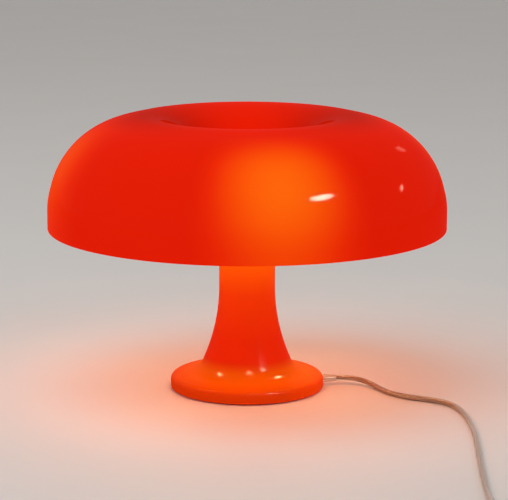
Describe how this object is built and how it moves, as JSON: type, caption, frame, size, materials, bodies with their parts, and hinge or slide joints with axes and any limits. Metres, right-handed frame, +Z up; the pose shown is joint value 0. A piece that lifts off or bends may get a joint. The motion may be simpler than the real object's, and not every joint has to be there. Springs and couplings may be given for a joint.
{
  "type": "table lamp",
  "caption": "Table lamp with a domed translucent shade, dished in its crown, on a trumpet-shaped foot, with small bulbs around a hub, a cord, a cord switch and a plug.",
  "frame": {"origin": "on the table, under the centre of the foot", "axes": "+Z up along the stem, +X to the right and -Y towards the viewer of the picture"},
  "size_m": [0.4286, 0.6626, 0.2225],
  "materials": {
    "shade": "polished, translucent",
    "foot_moulding": "polished",
    "ballast": "as cast, painted",
    "cover": "matt",
    "steel": "zinc plated",
    "rubber": "matt",
    "clear_sleeve": "clear",
    "cord": "clear, cores showing",
    "white_plastic": "satin",
    "brass": "plated",
    "bulb_glass": "opal",
    "bulb_cap": "satin",
    "bulb_foot": "glazed insulator with a metal tip",
    "knob": "polished",
    "switch": "polished",
    "plug": "polished",
    "rocker": "polished"
  },
  "bodies": {
    "lamp_base": {"stem_base": "foot_moulding", "base_ballast": "ballast", "base_cover": "cover", "cover_screws": "steel", "foot_1": "rubber", "foot_2": "rubber", "foot_3": "rubber", "foot_4": "rubber", "strain_relief": "clear_sleeve", "cord_clamp": "white_plastic", "clamp_screws": "steel", "inner_lead": "cord", "stem_rod": "steel", "rod_nut_low": "steel", "rod_nut_high": "steel", "rod_washer": "steel", "lamp_hub": "white_plastic", "hub_lid": "white_plastic", "seat_ring": "rubber", "terminal_block": "white_plastic", "lampholder_1": "white_plastic", "lampholder_2": "white_plastic", "lampholder_3": "white_plastic", "lampholder_4": "white_plastic", "socket_shell_1": "brass", "socket_shell_2": "brass", "socket_shell_3": "brass", "socket_shell_4": "brass", "socket_contact_1": "brass", "socket_contact_2": "brass", "socket_contact_3": "brass", "socket_contact_4": "brass", "cord_lead": "cord", "switch_lower": "switch", "switch_upper": "switch", "switch_screws": "steel", "switch_pivot": "steel", "switch_sleeves": "clear_sleeve", "cord_mid": "cord", "cord_coil": "cord", "cord_tail": "cord", "plug_body": "plug", "plug_pins": "brass"},
    "bulb_1": {"bulb_glass_1": "bulb_glass", "bulb_cap_1": "bulb_cap", "bulb_foot_1": "bulb_foot"},
    "bulb_2": {"bulb_glass_2": "bulb_glass", "bulb_cap_2": "bulb_cap", "bulb_foot_2": "bulb_foot"},
    "bulb_3": {"bulb_glass_3": "bulb_glass", "bulb_cap_3": "bulb_cap", "bulb_foot_3": "bulb_foot"},
    "bulb_4": {"bulb_glass_4": "bulb_glass", "bulb_cap_4": "bulb_cap", "bulb_foot_4": "bulb_foot"},
    "shade": {"shade": "shade"},
    "knob": {"shade_knob": "knob", "knob_insert": "brass"},
    "rocker": {"switch_rocker": "rocker"}
  },
  "joints": [
    {"name": "shade_lift", "type": "slide", "parent": "lamp_base", "child": "shade", "axis": [0, 0, 1], "range_m": [0, 0.1]},
    {"name": "knob_turn", "type": "hinge", "parent": "shade", "child": "knob", "pos_m": [0, 0, 0.184], "axis": [0, 0, 1], "continuous": true},
    {"name": "bulb_1_turn", "type": "hinge", "parent": "lamp_base", "child": "bulb_1", "pos_m": [0, 0, 0.1625], "axis": [0.9848, 0.1736, 0], "continuous": true},
    {"name": "bulb_2_turn", "type": "hinge", "parent": "lamp_base", "child": "bulb_2", "pos_m": [0, 0, 0.1625], "axis": [-0.1736, 0.9848, 0], "continuous": true},
    {"name": "bulb_3_turn", "type": "hinge", "parent": "lamp_base", "child": "bulb_3", "pos_m": [0, 0, 0.1625], "axis": [-0.9848, -0.1736, 0], "continuous": true},
    {"name": "bulb_4_turn", "type": "hinge", "parent": "lamp_base", "child": "bulb_4", "pos_m": [0, 0, 0.1625], "axis": [0.1736, -0.9848, 0], "continuous": true},
    {"name": "switch_rocker_press", "type": "hinge", "parent": "lamp_base", "child": "rocker", "pos_m": [0.1654, -0.403, 0.015], "axis": [-1, 0, 0], "range_deg": [0, 16]}
  ]
}
